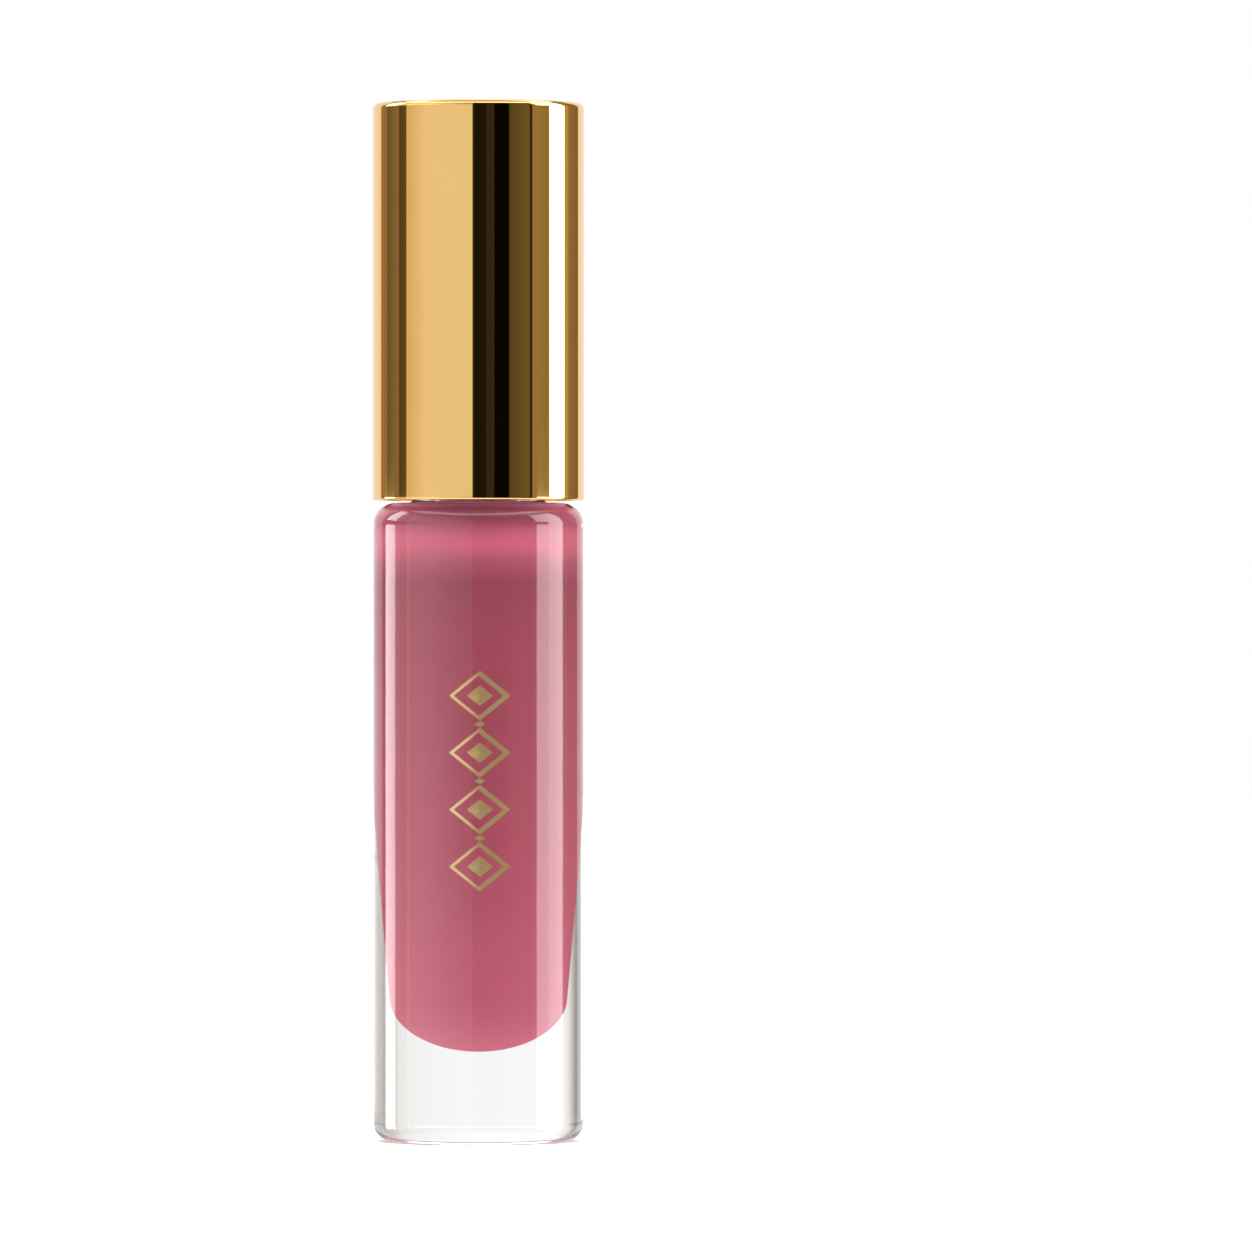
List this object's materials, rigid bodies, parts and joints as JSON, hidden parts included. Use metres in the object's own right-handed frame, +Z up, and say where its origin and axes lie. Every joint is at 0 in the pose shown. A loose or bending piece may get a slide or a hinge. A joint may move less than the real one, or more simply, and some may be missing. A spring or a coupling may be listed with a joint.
{
  "type": "lip gloss tube",
  "caption": "Slim cylindrical lip gloss tube: thick clear vial of pink gloss with a heavy clear base, polished gold screw cap, and a wand with a flocked doe-foot applicator inside.",
  "frame": {"origin": "centre of the ring that the vial stands on, at the level of the table", "axes": "+Z up along the tube's axis, from the base to the cap; +Y away from the decorated front, +X to its right"},
  "size_m": [0.0186, 0.0186, 0.0905],
  "materials": {
    "clear_glass": "polished",
    "pink_gloss": "wet gloss",
    "natural_plastic": "translucent moulded",
    "white_foam": "fine foam",
    "gold_shell": "polished gold anodised",
    "white_plastic": "moulded",
    "stem_plastic": "satin",
    "core_plastic": "moulded",
    "pink_flock": "wet velvet flock"
  },
  "bodies": {
    "bottle": {"glass_bottle": "clear_glass", "gloss_fill": "pink_gloss", "wiper": "natural_plastic"},
    "seal": {"sealing_washer": "white_foam"},
    "cap": {"cap_shell": "gold_shell", "inner_cap": "white_plastic", "wand_stem": "stem_plastic", "applicator_core": "core_plastic", "flocking": "pink_flock", "gloss_on_tip": "pink_gloss"}
  },
  "joints": [
    {"name": "cap_lift", "type": "slide", "parent": "bottle", "child": "seal", "axis": [0, 0, 1], "range_m": [0, 0.062], "deforming": ["gloss_on_tip"]},
    {"name": "cap_twist", "type": "hinge", "parent": "seal", "child": "cap", "pos_m": [0, 0, 0.0675], "axis": [0, 0, 1], "range_deg": [0, 450]}
  ]
}
